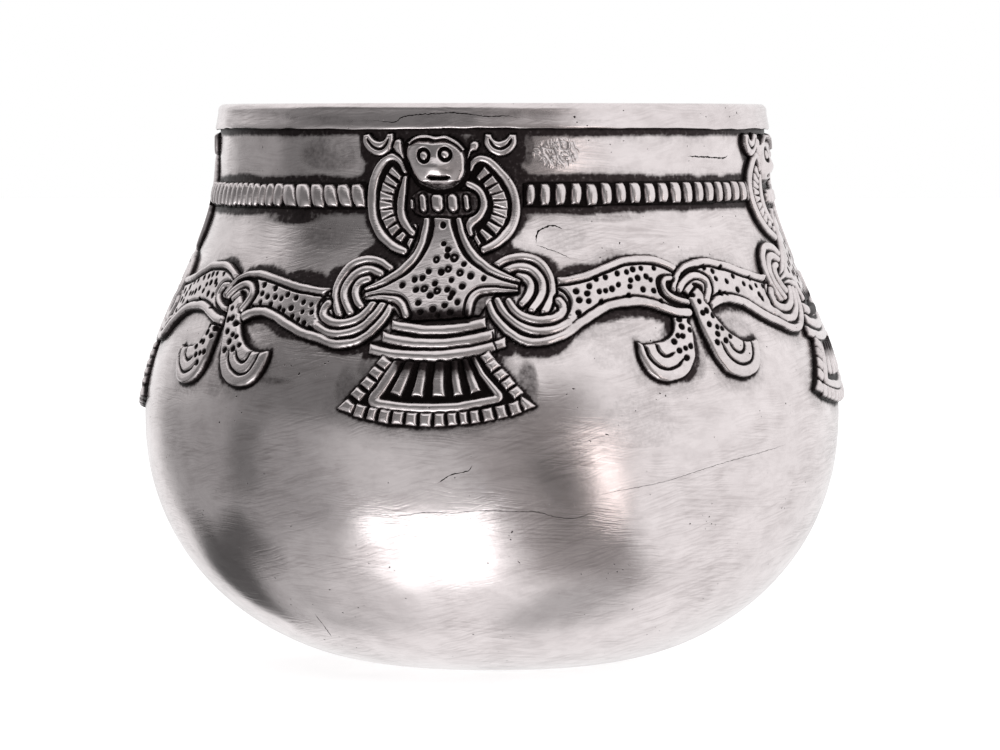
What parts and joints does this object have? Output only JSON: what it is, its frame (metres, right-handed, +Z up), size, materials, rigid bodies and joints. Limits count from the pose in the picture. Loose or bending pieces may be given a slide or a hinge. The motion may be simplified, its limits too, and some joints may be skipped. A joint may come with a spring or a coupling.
{
  "type": "ritual bowl",
  "caption": "Round-bellied silver cup with a folded rim band and an applied shoulder frieze of masked bird figures, knotted ribbons and beaded wire.",
  "frame": {"origin": "centre of the flat foot disc that the cup stands on", "axes": "+Z up along the cup's axis; -Y faces the camera of the picture; +X to its right"},
  "size_m": [0.118, 0.118, 0.0934],
  "materials": {
    "vessel_silver": "old hand-burnished silver, satin, scratched and pitted, tarnish left beside the relief",
    "rim_silver": "bright rubbed silver with a rolled edge",
    "ornament_silver": "raised silver with bright tops and blackened grooves and punch dots"
  },
  "bodies": {
    "root": {"vessel_body": "vessel_silver", "rim_band": "rim_silver", "figure_1_mask": "ornament_silver", "figure_1_torso": "ornament_silver", "figure_1_tail_fan": "ornament_silver", "figure_1_crescent_left": "ornament_silver", "figure_1_crescent_right": "ornament_silver", "figure_1_wing_left": "ornament_silver", "figure_1_wing_right": "ornament_silver", "figure_1_ring_left": "ornament_silver", "figure_1_ring_right": "ornament_silver", "knot_1_ribbon_left": "ornament_silver", "knot_1_ribbon_right": "ornament_silver", "knot_1_pendant_left": "ornament_silver", "knot_1_pendant_right": "ornament_silver", "beaded_wire_1": "ornament_silver", "figure_2_mask": "ornament_silver", "figure_2_torso": "ornament_silver", "figure_2_tail_fan": "ornament_silver", "figure_2_crescent_left": "ornament_silver", "figure_2_crescent_right": "ornament_silver", "figure_2_wing_left": "ornament_silver", "figure_2_wing_right": "ornament_silver", "figure_2_ring_left": "ornament_silver", "figure_2_ring_right": "ornament_silver", "knot_2_ribbon_left": "ornament_silver", "knot_2_ribbon_right": "ornament_silver", "knot_2_pendant_left": "ornament_silver", "knot_2_pendant_right": "ornament_silver", "beaded_wire_2": "ornament_silver", "figure_3_mask": "ornament_silver", "figure_3_torso": "ornament_silver", "figure_3_tail_fan": "ornament_silver", "figure_3_crescent_left": "ornament_silver", "figure_3_crescent_right": "ornament_silver", "figure_3_wing_left": "ornament_silver", "figure_3_wing_right": "ornament_silver", "figure_3_ring_left": "ornament_silver", "figure_3_ring_right": "ornament_silver", "knot_3_ribbon_left": "ornament_silver", "knot_3_ribbon_right": "ornament_silver", "knot_3_pendant_left": "ornament_silver", "knot_3_pendant_right": "ornament_silver", "beaded_wire_3": "ornament_silver", "figure_4_mask": "ornament_silver", "figure_4_torso": "ornament_silver", "figure_4_tail_fan": "ornament_silver", "figure_4_crescent_left": "ornament_silver", "figure_4_crescent_right": "ornament_silver", "figure_4_wing_left": "ornament_silver", "figure_4_wing_right": "ornament_silver", "figure_4_ring_left": "ornament_silver", "figure_4_ring_right": "ornament_silver", "knot_4_ribbon_left": "ornament_silver", "knot_4_ribbon_right": "ornament_silver", "knot_4_pendant_left": "ornament_silver", "knot_4_pendant_right": "ornament_silver", "beaded_wire_4": "ornament_silver"}
  },
  "joints": []
}
